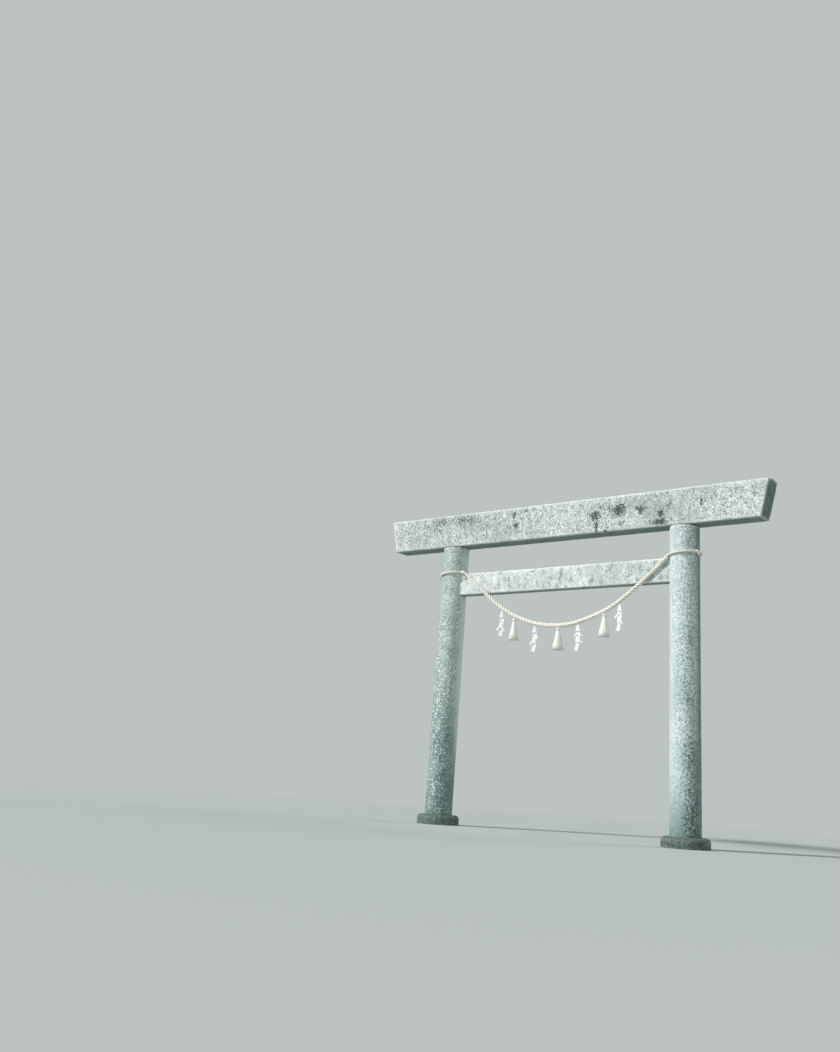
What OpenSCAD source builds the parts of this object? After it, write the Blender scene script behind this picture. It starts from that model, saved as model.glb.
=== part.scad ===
// Stone shrine gate (torii): two leaning round pillars on split plinths, a tie beam housed in both
// pillars, a flared top lintel, and a straw rope with tassels and folded paper streamers.
// Frame: origin on the ground midway between the pillars, +X along the lintel, front towards -Y.
// Units are millimetres.

/* [Pillars] */
// Height of a pillar from the ground to the underside of the lintel
pillar_h = 3360; // [2600:10:4200]
// Distance between the pillar centres at the ground
pillar_spacing = 3180; // [2400:10:4200]
// Diameter of a pillar at the ground
pillar_foot_d = 326; // [260:1:420]
// Diameter of a pillar under the lintel
pillar_top_d = 319; // [240:1:400]
// Inward lean of each pillar in degrees
pillar_lean = 0.8; // [0:0.1:2.5]
// Side of the square tenon on top of a pillar
tenon_w = 140; // [80:5:180]
// Height of that tenon
tenon_h = 70; // [40:5:110]

/* [Plinths] */
// Outer diameter of the round plinth at a pillar's foot
plinth_d = 500; // [460:5:700]
// Height of the plinth
plinth_h = 110; // [70:5:180]
// Radius of the plinth's rounded shoulder
plinth_shoulder = 42; // [15:1:60]
// Width of the open joint between the two halves of a plinth
plinth_seam = 4; // [1:1:10]
// Direction of that joint in degrees, turned from the front towards the passage
plinth_seam_angle = 36; // [0:1:90]

/* [Lintel] */
// Length of the lintel along its underside
lintel_len = 4880; // [4200:10:6200]
// How far each end of the lintel leans out from its underside to its top
lintel_flare = 90; // [0:5:200]
// Height of the lintel's faces
lintel_h = 410; // [260:5:520]
// Depth of the lintel from front to back
lintel_depth = 250; // [200:5:400]
// Rise of the low ridge that sheds rain from the lintel's top
lintel_ridge = 14; // [0:1:40]

/* [Tie beam] */
// Distance from the lintel's underside down to the tie beam's top
tie_drop = 343; // [150:1:700]
// Height of the tie beam
tie_h = 266; // [160:1:340]
// Depth of the tie beam from front to back
tie_depth = 140; // [100:5:220]
// How deep each end of the tie beam is let into its pillar
tie_housing = 90; // [40:5:130]

/* [Stone edges and fits] */
// Width of the worn bevel along the beams' edges
arris = 8; // [1:1:16]
// Play of tenons and housings in their sockets
stone_fit = 0.5; // [0.3:0.1:3]

/* [Rope] */
// Diameter of the straw rope at its middle
rope_mid_d = 54; // [36:1:58]
// Diameter of the straw rope at its bound ends
rope_end_d = 34; // [24:1:40]
// Diameter of the thin rope looped round each pillar
loop_d = 26; // [14:1:30]
// Diameter of the bound knot at each end of the straw rope
knot_d = 50; // [44:1:64]
// Tilt of the left loop in degrees, down towards its outer side
left_loop_tilt = 5; // [-6:0.5:8]
// Tilt of the right loop in degrees, down towards its outer side
right_loop_tilt = -4; // [-6:0.5:8]
// Length of the loose tail on the outer side of each loop
tail_len = 58; // [30:2:90]
// Distance from the tie beam's front to the rope's centreline
rope_stand = 23; // [23:1:60]
// Play between rope pieces and what they lie against
rope_fit = 0.3; // [0.3:0.1:1]

/* [Tassels] */
// Height of a straw tassel
tassel_h = 254; // [160:2:300]
// Usual diameter of a tassel at its cut end
tassel_d = 134; // [80:2:160]
// Diameter of a tassel at its bound neck
tassel_neck_d = 37; // [24:1:44]
// Diameter of the rounded fold of straw above the neck
tassel_fold_d = 46; // [45:1:60]
// Distance from the tassel's top to its neck binding
tassel_neck_drop = 24; // [18:1:50]
// Diameter of the cord that binds the neck
tassel_tie_d = 5; // [4:1:10]

/* [Paper streamers] */
// Height of a paper streamer below the rope
streamer_h = 300; // [200:2:340]
// Width of each folded panel
streamer_w = 56; // [36:1:80]
// Thickness of the folded paper
streamer_t = 3; // [2:0.5:5]
// Length of the folded corners that stick out at the sides
wing_len = 72; // [40:1:90]
// Width of those corners
wing_w = 18; // [10:1:26]

/* [Hidden] */

stone_colour = [0.80, 0.82, 0.80];
mossy_colour = [0.42, 0.47, 0.43];
straw_colour = [0.87, 0.82, 0.68];
paper_colour = [0.95, 0.95, 0.93];

round_fn = 96;
cord_fn = 24;
over = 1;

// Pillar axis and radius at a height above the ground
function pillar_x(z) = pillar_spacing / 2 - z * tan(pillar_lean);
function pillar_r(z) = (pillar_foot_d + (pillar_top_d - pillar_foot_d) * z / pillar_h) / 2;

tie_top = pillar_h - tie_drop;
tie_z = tie_top - tie_h;
tie_front = -tie_depth / 2;
// The tie beam stops where its housing ends, measured at its underside
tie_half = pillar_x(tie_z) - pillar_r(tie_z) + tie_housing;

// The thin loops cross the passage side just above the tie beam
loop_rise = 8;
loop_z = tie_top + loop_d / 2 + loop_rise;
loop_x = pillar_x(loop_z);
// Directions on a pillar, in degrees from the front towards the passage
left_knot_turn = 62;
right_knot_turn = 55;
hitch_turn = -72;
// Bead and tail of the hitch as shares of the loop's thickness, and droop of the tail in degrees
hitch_bead = 1.6;
hitch_tail = 0.65;
tail_droop = 52;
// How far knots and hitches sit out from a pillar, as a share of the loop's thickness
knot_seat = 0.75;

// Route of the straw rope, left knot to right knot, with heights from the tie beam's top
ROUTE = [[-1330, 5], [-1250, -59], [-1165, -128], [-1080, -199], [-1000, -267], [-925, -329],
    [-850, -388], [-770, -444], [-680, -499], [-580, -552], [-470, -601], [-360, -640],
    [-240, -670], [-120, -689], [0, -697], [120, -695], [240, -680], [360, -652],
    [470, -618], [580, -580], [680, -536], [770, -487], [850, -435], [925, -381],
    [1000, -323], [1080, -259], [1165, -189], [1250, -118], [1310, -67], [1360, -25]];
rope_y = tie_front - rope_stand;
ROPE = [for (p = ROUTE) [p[0], rope_y, tie_top + p[1]]];
rope_sides = 12;

// Places along the lintel where the ornaments hang from the rope
tassel_places = [-560, 48, 640];
streamer_places = [-742, -270, 305, 825];

// Width of each tassel against the usual one
tassel_sizes = [0.92, 1.05, 1];
// Turns of cord that bind a tassel's neck
tie_turns = 3;

// Corners of a streamer's panels, top to bottom, as shares of its width and its height downwards
PANELS = [
    [[-0.20, 0], [0.20, 0], [0.50, 0.26], [-0.50, 0.26]],
    [[-0.50, 0.25], [0.50, 0.25], [0.42, 0.46], [-0.42, 0.46]],
    [[-0.42, 0.43], [0.54, 0.47], [0.36, 0.70], [-0.46, 0.66]],
    [[-0.34, 0.66], [0.40, 0.69], [0.06, 1.00], [-0.84, 0.97]]];
// Folded corners of each streamer: side, drop and length as shares, and slope in degrees
WINGS = [
    [[-1, 0.60, 1.0, 47], [1, 0.64, 0.9, 60]],
    [[1, 0.33, 0.9, 48], [-1, 0.54, 1.0, 54]],
    [[1, 0.33, 0.9, 35], [-1, 0.37, 0.6, 24], [1, 0.58, 0.9, 30]],
    [[-1, 0.34, 1.0, 46], [1, 0.57, 0.9, 52]]];
// Where a folded corner starts, as a share of the panel's width from its middle
wing_root = 0.15;
// How far the front and back panels sit from the fold, as a share of the paper's thickness
paper_lap = 0.45;
// Turn of each streamer about its own length, in degrees
streamer_turns = [20, 14, 8, -6];

last = len(ROPE) - 1;
function unit(v) = v / norm(v);
function mirrored(p) = [-p[0], p[1], p[2]];
function rope_tangent(i) = unit(ROPE[min(i + 1, last)] - ROPE[max(i - 1, 0)]);
function rope_share(x) = 1 - pow(min(1, abs(x) / ROPE[last][0]), 2);
function rope_r(x) = (rope_end_d + (rope_mid_d - rope_end_d) * rope_share(x)) / 2;
rope_heights = [for (p = ROPE) [p[0], p[2]]];
function rope_z(x) = lookup(x, rope_heights);
function rope_slope(x) = (rope_z(x + 20) - rope_z(x - 20)) / 40;
function rope_ring(i) =
    let (t = rope_tangent(i), side = unit(cross(t, [0, 0, 1])), up = cross(side, t))
    let (r = rope_r(ROPE[i][0]))
    [for (k = [0:rope_sides - 1])
        ROPE[i] + r * (cos(360 * k / rope_sides) * side + sin(360 * k / rope_sides) * up)];

module pillar_cone(extra = 0) {
    over_len = 40;
    taper = (pillar_foot_d - pillar_top_d) / pillar_h;
    len = pillar_h / cos(pillar_lean);
    translate([-pillar_spacing / 2, 0, 0])
        rotate([0, pillar_lean, 0])
            translate([0, 0, -over_len])
                cylinder(h = len + 2 * over_len, d1 = pillar_foot_d + taper * over_len + 2 * extra,
                    d2 = pillar_top_d - taper * over_len + 2 * extra, $fn = round_fn);
}

module pillar() {
    difference() {
        union() {
            intersection() {
                pillar_cone();
                translate([-pillar_spacing, -pillar_foot_d, 0])
                    cube([pillar_spacing, 2 * pillar_foot_d, pillar_h]);
            }
            translate([-pillar_x(pillar_h) - tenon_w / 2, -tenon_w / 2, pillar_h - over])
                cube([tenon_w, tenon_w, tenon_h + over]);
        }
        // Socket that houses the end of the tie beam
        translate([-tie_half - stone_fit, tie_front - stone_fit, tie_z])
            cube([pillar_spacing, tie_depth + 2 * stone_fit, tie_h + stone_fit]);
    }
}

module plinth_profile() {
    r = plinth_d / 2;
    square([r - plinth_shoulder, plinth_h]);
    square([r, plinth_h - plinth_shoulder]);
    translate([r - plinth_shoulder, plinth_h - plinth_shoulder])
        circle(r = plinth_shoulder, $fn = round_fn);
}

// One half of a plinth: side 1 faces the passage, side -1 faces away from it
module plinth_half(side) {
    difference() {
        translate([-pillar_spacing / 2, 0, 0])
            intersection() {
                rotate_extrude($fn = round_fn)
                    plinth_profile();
                rotate([0, 0, plinth_seam_angle])
                    translate([side > 0 ? plinth_seam / 2 : -plinth_d, -plinth_d, 0])
                        cube([plinth_d - plinth_seam / 2, 2 * plinth_d, plinth_h]);
            }
        pillar_cone(stone_fit);
    }
}

// Section of the lintel, centred on its depth, underside at zero
module lintel_section() {
    d = lintel_depth / 2;
    polygon([[-d + arris, 0], [d - arris, 0], [d, arris], [d, lintel_h - arris],
        [d - arris, lintel_h], [0, lintel_h + lintel_ridge], [-d + arris, lintel_h],
        [-d, lintel_h - arris], [-d, arris]]);
}

module lintel() {
    half = lintel_len / 2;
    lean = lintel_flare / lintel_h;
    top = lintel_h + lintel_ridge;
    mortise_w = tenon_w + 2 * stone_fit;
    difference() {
        translate([0, 0, pillar_h])
            intersection() {
                translate([-lintel_len, 0, 0])
                    rotate([90, 0, 90])
                        linear_extrude(2 * lintel_len)
                            lintel_section();
                translate([0, lintel_depth, 0])
                    rotate([90, 0, 0])
                        linear_extrude(2 * lintel_depth)
                            polygon([[-half, 0], [half, 0], [half + lean * top, top],
                                [-half - lean * top, top]]);
            }
        for (side = [-1, 1])
            translate([side * pillar_x(pillar_h) - mortise_w / 2, -mortise_w / 2, pillar_h - over])
                cube([mortise_w, mortise_w, tenon_h + over + stone_fit]);
    }
}

module tie_beam(extra = 0) {
    d = tie_depth / 2 + extra;
    h = tie_h + extra;
    translate([-tie_half, 0, tie_z])
        rotate([90, 0, 90])
            linear_extrude(2 * tie_half)
                polygon([[-d + arris, 0], [d - arris, 0], [d, arris], [d, h - arris],
                    [d - arris, h], [-d + arris, h], [-d, h - arris], [-d, arris]]);
}

module rope() {
    n = len(ROPE);
    s = rope_sides;
    polyhedron(
        points = [for (i = [0:n - 1]) each rope_ring(i)],
        faces = concat(
            [[for (k = [0:s - 1]) k]],
            [for (i = [0:n - 2], k = [0:s - 1])
                [i * s + k, (i + 1) * s + k, (i + 1) * s + (k + 1) % s, i * s + (k + 1) % s]],
            [[for (k = [0:s - 1]) (n - 1) * s + s - 1 - k]]));
}

// Ring of thin rope round the left pillar
module loop_ring(tilt, extra = 0) {
    r = (pillar_r(loop_z) + loop_d / 2) / cos(tilt) + rope_fit;
    translate([-loop_x, 0, loop_z - r * sin(tilt)])
        rotate([0, -tilt, 0])
            rotate_extrude($fn = round_fn)
                translate([r, 0])
                    circle(d = loop_d + 2 * extra, $fn = cord_fn);
}

// What the rope pieces at the left pillar have to stay clear of
module left_pillar_room(tilt) {
    pillar_cone(rope_fit);
    loop_ring(tilt, rope_fit);
    tie_beam(rope_fit);
}

// Turns its children so that their +Z points along a direction
module aim(dir) {
    rotate([0, acos(dir[2]), atan2(dir[1], dir[0])])
        children();
}

// Bound knot that hooks the end of the straw rope over the loop
module knot(start, next, turn, tilt) {
    reach = pillar_r(loop_z) + knot_seat * loop_d + rope_fit;
    hook = [reach * sin(turn) - loop_x, -reach * cos(turn), loop_z];
    run = start - hook;
    difference() {
        translate(hook)
            aim(unit(run))
                cylinder(h = norm(run) + knot_d / 2, d = knot_d, $fn = cord_fn * 2);
        // Flat face that the straw rope starts from
        translate(start)
            aim(unit(next - start))
                translate([-knot_d, -knot_d, 0])
                    cube(2 * knot_d);
        left_pillar_room(tilt);
    }
}

// Overhand hitch on the outer side of the loop, with its drooping tail
module hitch(tilt) {
    reach = pillar_r(loop_z) + knot_seat * loop_d + rope_fit;
    drop = reach * (1 - sin(hitch_turn)) * tan(tilt);
    difference() {
        translate([reach * sin(hitch_turn) - loop_x, -reach * cos(hitch_turn), loop_z - drop]) {
            sphere(d = loop_d * hitch_bead, $fn = 32);
            rotate([0, 180 - tail_droop, hitch_turn + 270])
                cylinder(h = tail_len, d = loop_d * hitch_tail, $fn = cord_fn);
        }
        left_pillar_room(tilt);
    }
}

// Hangs something of a given half width from the underside of the rope. Its corner may stand off the
// rope's lowest edge, towards the front or the back, where the underside is already higher.
module hang(x, half, off = 0) {
    slope = abs(rope_slope(x));
    reach = rope_r(x) / cos(atan(slope)) + slope * half - off * tan(180 / rope_sides);
    translate([x, rope_y, rope_z(x) - reach - rope_fit])
        children();
}

// Tassel: a rounded fold, a bound neck and a straight flare to the cut end
module tassel(i) {
    neck = tassel_neck_d / 2;
    fold = tassel_fold_d / 2;
    wrap = tie_turns * tassel_tie_d / 2 + rope_fit;
    fold_end = tassel_neck_drop - wrap;
    shoulder = min(fold - neck, fold_end / 3);
    hang(tassel_places[i], neck)
        rotate_extrude($fn = 64)
            polygon([[0, 0], [neck, 0], [fold, -shoulder], [fold, -fold_end / 2],
                [neck, -fold_end], [neck, -tassel_neck_drop - wrap],
                [tassel_d * tassel_sizes[i] / 2, -tassel_h], [0, -tassel_h]]);
}

// Turns of cord round the tassel's neck
module tassel_tie(i) {
    inner = tassel_neck_d / 2 + rope_fit;
    turns_h = tie_turns * tassel_tie_d;
    hang(tassel_places[i], tassel_neck_d / 2)
        translate([0, 0, -tassel_neck_drop - turns_h / 2])
            rotate_extrude($fn = 48) {
                translate([inner, 0])
                    square([tassel_tie_d / 2, turns_h]);
                for (turn = [0:tie_turns - 1])
                    translate([inner + tassel_tie_d / 2, (turn + 0.5) * tassel_tie_d])
                        circle(d = tassel_tie_d, $fn = 16);
            }
}

// One thickness of paper in front of the fold (side 1) or behind it (side -1)
module paper(side) {
    translate([0, -side * streamer_t * paper_lap, 0])
        rotate([90, 0, 0])
            linear_extrude(streamer_t, center = true)
                children();
}

// Folded paper streamer: four panels that step sideways, with folded corners that stick out
module streamer(i) {
    half = PANELS[0][1][0] * streamer_w;
    turn = streamer_turns[i];
    hang(streamer_places[i], half * cos(turn), max(0, half * sin(abs(turn)) - streamer_t))
        rotate([0, 0, turn]) {
            for (k = [0:len(PANELS) - 1])
                paper(k % 2 == 0 ? 1 : -1)
                    polygon([for (p = PANELS[k]) [p[0] * streamer_w, -p[1] * streamer_h]]);
            for (wing = WINGS[i])
                paper(-wing[0])
                    translate([wing[0] * wing_root * streamer_w, -wing[1] * streamer_h])
                        rotate(wing[0] > 0 ? -wing[3] : 180 + wing[3])
                            translate([0, -wing_w / 2])
                                square([wing_len * wing[2], wing_w]);
        }
}

module on_right() {
    mirror([1, 0, 0])
        children();
}

color(stone_colour) pillar();  // left_pillar
color(stone_colour) on_right() pillar();  // right_pillar
color(mossy_colour) plinth_half(-1);  // left_plinth_outer
color(mossy_colour) plinth_half(1);  // left_plinth_inner
color(mossy_colour) on_right() plinth_half(-1);  // right_plinth_outer
color(mossy_colour) on_right() plinth_half(1);  // right_plinth_inner
color(stone_colour) lintel();
color(stone_colour) tie_beam();
color(straw_colour) rope();
color(straw_colour) loop_ring(left_loop_tilt);  // left_loop
color(straw_colour) on_right() loop_ring(right_loop_tilt);  // right_loop
color(straw_colour) knot(ROPE[0], ROPE[1], left_knot_turn, left_loop_tilt);  // left_knot
color(straw_colour) on_right()  // right_knot
        knot(mirrored(ROPE[last]), mirrored(ROPE[last - 1]), right_knot_turn, right_loop_tilt);
color(straw_colour) hitch(left_loop_tilt);  // left_hitch
color(straw_colour) on_right() hitch(right_loop_tilt);  // right_hitch
color(straw_colour) tassel(0);  // left_tassel
color(straw_colour) tassel(1);  // middle_tassel
color(straw_colour) tassel(2);  // right_tassel
color(straw_colour) tassel_tie(0);  // left_tassel_tie
color(straw_colour) tassel_tie(1);  // middle_tassel_tie
color(straw_colour) tassel_tie(2);  // right_tassel_tie
color(paper_colour) streamer(0);  // streamer_1
color(paper_colour) streamer(1);  // streamer_2
color(paper_colour) streamer(2);  // streamer_3
color(paper_colour) streamer(3);  // streamer_4
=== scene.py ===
# %% [markdown]
# # A stone torii with its straw rope
#
# This lesson dresses a finished construction model of a stone shrine gate. The model already holds
# every stone and rope piece at its real size, so nothing is moved or resized here. We load it as a
# fixed frame.

# %% Load the frame
import math
import random

import bpy
import numpy as np
from mathutils import Matrix, Vector, noise


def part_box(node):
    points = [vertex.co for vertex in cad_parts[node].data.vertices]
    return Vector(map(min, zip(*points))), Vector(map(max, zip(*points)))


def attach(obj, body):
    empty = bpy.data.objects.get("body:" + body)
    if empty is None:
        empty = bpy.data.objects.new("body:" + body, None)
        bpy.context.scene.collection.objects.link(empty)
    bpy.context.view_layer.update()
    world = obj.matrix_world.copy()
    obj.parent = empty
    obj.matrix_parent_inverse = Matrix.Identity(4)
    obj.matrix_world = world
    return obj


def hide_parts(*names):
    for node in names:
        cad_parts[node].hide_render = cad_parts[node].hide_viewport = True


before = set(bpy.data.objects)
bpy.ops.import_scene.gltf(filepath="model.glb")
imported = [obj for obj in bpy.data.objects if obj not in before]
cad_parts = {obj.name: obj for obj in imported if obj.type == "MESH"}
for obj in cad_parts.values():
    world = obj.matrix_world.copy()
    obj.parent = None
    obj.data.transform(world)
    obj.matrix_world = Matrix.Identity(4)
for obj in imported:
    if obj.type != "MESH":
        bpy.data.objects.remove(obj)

MM = 0.001
scene = bpy.context.scene
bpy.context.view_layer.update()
print("The frame holds", len(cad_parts), "nodes")

# %% [markdown]
# ## The camera
#
# The photograph was taken from low down in front of the right pillar, looking up and to the left, with
# the camera turned a little about its own axis. We could place the camera by eye, but the stones have
# straight edges, so its place and angles were solved from them. The focal length in pixels belongs to
# an image 1052 pixels high, which is the long side that Blender's sensor width spans.

# %% Place the camera
PHOTO_HEIGHT = 1052
FOCAL_PIXELS = 1089.3
EYE = Vector((6.611, -10.703, 0.508))
YAW, PITCH, ROLL = (math.radians(angle) for angle in (39.365, 13.054, 3.839))
FARTHEST = 500

camera = bpy.data.objects.new("camera", bpy.data.cameras.new("camera"))
scene.collection.objects.link(camera)
scene.camera = camera
camera.data.lens = camera.data.sensor_width * FOCAL_PIXELS / PHOTO_HEIGHT
camera.data.clip_end = FARTHEST

forward = Vector((-math.sin(YAW) * math.cos(PITCH), math.cos(YAW) * math.cos(PITCH), math.sin(PITCH)))
level = Vector((math.cos(YAW), math.sin(YAW), 0))
right = math.cos(ROLL) * level + math.sin(ROLL) * level.cross(forward)
turned = Matrix((right, right.cross(forward), -forward)).transposed()
camera.matrix_world = Matrix.Translation(EYE) @ turned.to_4x4()
print("Lens", round(camera.data.lens, 1), "mm")

# %% [markdown]
# ## Helpers for swept pieces
#
# Ropes, cords and straws are all one thing to a modeller: a small outline carried along a line. The
# curve object can do that, but it can't lay three strands round each other or fray an end, so we
# sweep our own. First come a smooth line through given points, and two side directions that
# turn as little as possible along it.

# %% Lines and their frames
def smooth_line(points, step):
    """Points about a step apart on a smooth curve through the given ones."""
    held = [Vector(p) for p in points]
    held = [2 * held[0] - held[1], *held, 2 * held[-1] - held[-2]]
    line = []
    for a, b, c, d in zip(held, held[1:], held[2:], held[3:]):
        slope, bend, twist = c - a, 2 * a - 5 * b + 4 * c - d, 3 * b - a - 3 * c + d
        count = max(1, round((c - b).length / step))
        for t in (i / count for i in range(count)):
            line.append(b + 0.5 * (slope * t + bend * t**2 + twist * t**3))
    return np.array([*line, held[-2]])


def unit(vectors):
    """Vectors with the same directions and a length of 1."""
    return vectors / np.linalg.norm(vectors, axis=-1, keepdims=True)


def line_frames(line):
    """The distance along a line, and two side directions at each of its points."""
    along = np.concatenate([[0], np.cumsum(np.linalg.norm(np.diff(line, axis=0), axis=1))])
    ahead = unit(np.gradient(line, axis=0))
    side = np.zeros_like(line)
    start = np.cross(ahead[0], (0, 1, 0) if abs(ahead[0][1]) < 0.9 else (0, 0, 1))
    side[0] = unit(start)
    for i in range(1, len(line)):
        turned = side[i - 1] - ahead[i] * (side[i - 1] @ ahead[i])
        side[i] = unit(turned)
    return along, side, np.cross(ahead, side)

# %% [markdown]
# The pieces themselves are plain meshes. The gate has no moving parts, so every piece rides on root.
# In this lesson a body is points with their faces, and several may join into one piece, as when a
# knot is a core with cord wound round it. Numbers that a material needs, such as where stalks run,
# are stored on the mesh point by point.

# %% Pieces of mesh
def make_piece(name, points, faces, material, slot, smooth=True):
    """A mesh that rides with the gate and takes its finish from a material. The slot is not used."""
    mesh = bpy.data.meshes.new(name)
    mesh.from_pydata(np.asarray(points).tolist(), [], faces)
    mesh.materials.append(material)
    if smooth:
        mesh.shade_smooth()
    else:
        mesh.shade_flat()
    piece = bpy.data.objects.new(name, mesh)
    scene.collection.objects.link(piece)
    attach(piece, "root")
    return piece


def tube_faces(rings, sides, start=0, closed=False):
    """The faces of a tube from ring to ring of points. It closes on itself, or its ends are capped."""
    faces = []
    for i in range(rings if closed else rings - 1):
        a, b = start + i * sides, start + (i + 1) % rings * sides
        faces += [(a + k, a + (k + 1) % sides, b + (k + 1) % sides, b + k) for k in range(sides)]
    if not closed:
        faces.append(tuple(start + k for k in reversed(range(sides))))
        faces.append(tuple(start + (rings - 1) * sides + k for k in range(sides)))
    return faces


def join(bodies):
    """The points and faces of several bodies as one."""
    points, faces, start = [], [], 0
    for body in bodies:
        faces += [tuple(start + k for k in face) for face in body["faces"]]
        points.append(body["points"])
        start += len(body["points"])
    return np.concatenate(points), faces


def store(piece, name, values):
    """Keeps one number per point on the mesh, where a material can read it."""
    layer = piece.data.attributes.new(name, "FLOAT", "POINT")
    layer.data.foreach_set("value", np.asarray(values, np.float32).ravel())

# %% [markdown]
# ## Materials as small graphs
#
# Every finish below is a graph of shader nodes. Writing each node out takes five lines, so one helper
# adds any node with its settings, its links and, for a colour ramp, its stops, and gives back the
# output that the next node needs. Colours are written as sRGB hex, as on a paint chart, and turned to
# linear light in one place, and a noise texture's scale is worked out from millimetres.
#
# Sockets go by name, or by number where names repeat or are long. A colour mix takes its amount at 0
# and its two colours at 6 and 7, and gives its colour at 2. A map range takes its value at 0, the
# range to look at from 1 to 2, and its highest result at 4.

# %% Colours and nodes
RGBA = {"data_type": "RGBA"}
SMOOTH = {"interpolation_type": "SMOOTHSTEP"}
PLUS, TIMES, TIMES_PLUS = ({"operation": kind} for kind in ("ADD", "MULTIPLY", "MULTIPLY_ADD"))


def colour(code):
    """The linear colour of an sRGB hex code."""
    channels = [int(code[i:i + 2], 16) / 255 for i in (0, 2, 4)]
    return (*(c / 12.92 if c <= 0.04045 else ((c + 0.055) / 1.055) ** 2.4 for c in channels), 1)


def noise_scale(size_mm):
    """The scale at which noise has lumps about that many millimetres wide."""
    return 0.6 / (size_mm * MM)


def add(tree, kind, inputs, output=0, stops=(), **settings):
    """Adds a shader node and gives one of its outputs. Inputs are values or links by socket."""
    node = tree.nodes.new("ShaderNode" + kind)
    for name, value in settings.items():
        setattr(node, name, value)
    for socket, value in inputs.items():
        if isinstance(value, bpy.types.NodeSocket):
            tree.links.new(value, node.inputs[socket])
        else:
            node.inputs[socket].default_value = value
    for i, (place, value) in enumerate(stops):
        stop = node.color_ramp.elements[i] if i < 2 else node.color_ramp.elements.new(place)
        stop.position, stop.color = place, colour(value)
    return node.outputs[output] if node.outputs else node


def start_material(name, roughness, ior):
    """A new material, its graph, and its shader with two plain numbers set."""
    material = bpy.data.materials.new(name)
    material.use_nodes = True
    shader = material.node_tree.nodes["Principled BSDF"]
    shader.inputs["Roughness"].default_value = roughness
    shader.inputs["IOR"].default_value = ior
    return material, material.node_tree, shader

# %% [markdown]
# ## Rice straw
#
# A shrine rope is twisted rice straw: dry, hollow stalks with a faint gloss that break the light into
# fine lines along each strand. The colour is a cream bleached by the sun, and a pale tan is painted
# in the grooves and the gaps between stalks as painted shade. The tassels' combed straw is paler
# still. The stalks are 3 mm wide, and the noise that draws them is stretched 25 times along them. The
# meshes below keep, at each point, how far it lies across and along its stalks, so the lines follow
# every twist.

# %% Straw
STALK_MM, STRETCH = 3, 25


def straw(name, crown, body, groove_shade, relief_mm):
    """Straw with colours for the stalks' tops and sides, and painted shade in the gaps and grooves."""
    material, tree, shader = start_material(name, roughness=0.62, ior=1.45)
    across, along, depth, tone = (
        add(tree, "Attribute", {}, "Fac", attribute_name=key)
        for key in ("across", "along", "depth", "tone"))
    slow = add(tree, "Math", {0: along, 1: 1 / STRETCH}, **TIMES)
    stalks = add(tree, "CombineXYZ", {"X": across, "Y": slow, "Z": tone})
    lines = add(tree, "TexNoise", {"Vector": stalks, "Scale": 1 / (STALK_MM * MM), "Detail": 3.0}, "Fac")
    # Painted shade: the gaps between the stalks take the darker groove colour.
    blend = add(tree, "ValToRGB", {"Fac": lines}, stops=[(0.34, groove_shade), (0.43, body), (0.60, crown)])
    age = add(tree, "MapRange", {"Value": tone, "To Max": 0.45})
    aged = add(tree, "Mix", {0: age, 6: blend, 7: colour(body)}, 2, **RGBA)
    # Painted shade: the deeper a point lies in a groove, the more it takes the groove colour.
    groove_shade_amount = add(tree, "MapRange", {"Value": depth, "From Min": 0.35, "From Max": 0.95})
    shade = add(tree, "Mix", {0: groove_shade_amount, 6: aged, 7: colour(groove_shade)}, 2, **RGBA)
    tree.links.new(shade, shader.inputs["Base Color"])
    bump = add(tree, "Bump", {"Height": lines, "Strength": 0.9, "Distance": relief_mm * MM})
    tree.links.new(bump, shader.inputs["Normal"])
    return material


rope_straw = straw("twisted_rice_straw", crown="FFFEF8", body="F6F2E6", groove_shade="C6B99F", relief_mm=1.0)
tassel_straw = straw("combed_rice_straw", crown="FFFFFB", body="FBF8EF", groove_shade="E0D8C4", relief_mm=0.7)
print("Straws", rope_straw.name, tassel_straw.name)

# %% [markdown]
# ## The rope
#
# The rope is laid from three strands, thick in the middle and thin at the bound ends. We could sweep
# three round tubes about each other, but their hidden sides would cross. One closed tube with a
# three-lobed outline has the same look without them: each lobe is the part of a strand that shows.
# A strand is a circle whose centre and size are shares of the rope's radius.

# %% The outline of a strand
STRAND_CENTRE, STRAND_SIZE = 0.38, 0.62


def lobe(strands, stalks):
    """The part of one strand that shows, on a rope of radius 1: angle, radius, depth, place across."""
    half = math.pi / strands
    open_angle = half + math.asin(STRAND_CENTRE / STRAND_SIZE * math.sin(half))
    turn = np.linspace(-open_angle, open_angle, stalks + 1)[:-1] + open_angle / stalks
    x, y = STRAND_CENTRE + STRAND_SIZE * np.cos(turn), STRAND_SIZE * np.sin(turn)
    radius = np.hypot(x, y)
    return np.arctan2(y, x), radius, (1 - radius) / (1 - radius.min()), turn * STRAND_SIZE

# %% [markdown]
# A swept body also keeps the four numbers that the straw material reads. Every second point of the
# outline stands out as a ridge, so that stalks show at the rope's edge too, and the ridges swell and
# sink along the rope.

# %% Lay a rope of strands
STRANDS_APART = 3
RIDGE_WAVE = 23 * MM


def make_body(points, faces, **numbers):
    """A grid of points, its faces, and the numbers for the straw material, spread over every point."""
    spread = {key: np.broadcast_to(value, points.shape[:-1]).ravel() for key, value in numbers.items()}
    return {"points": points.reshape(-1, 3), "faces": faces, **spread}


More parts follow.
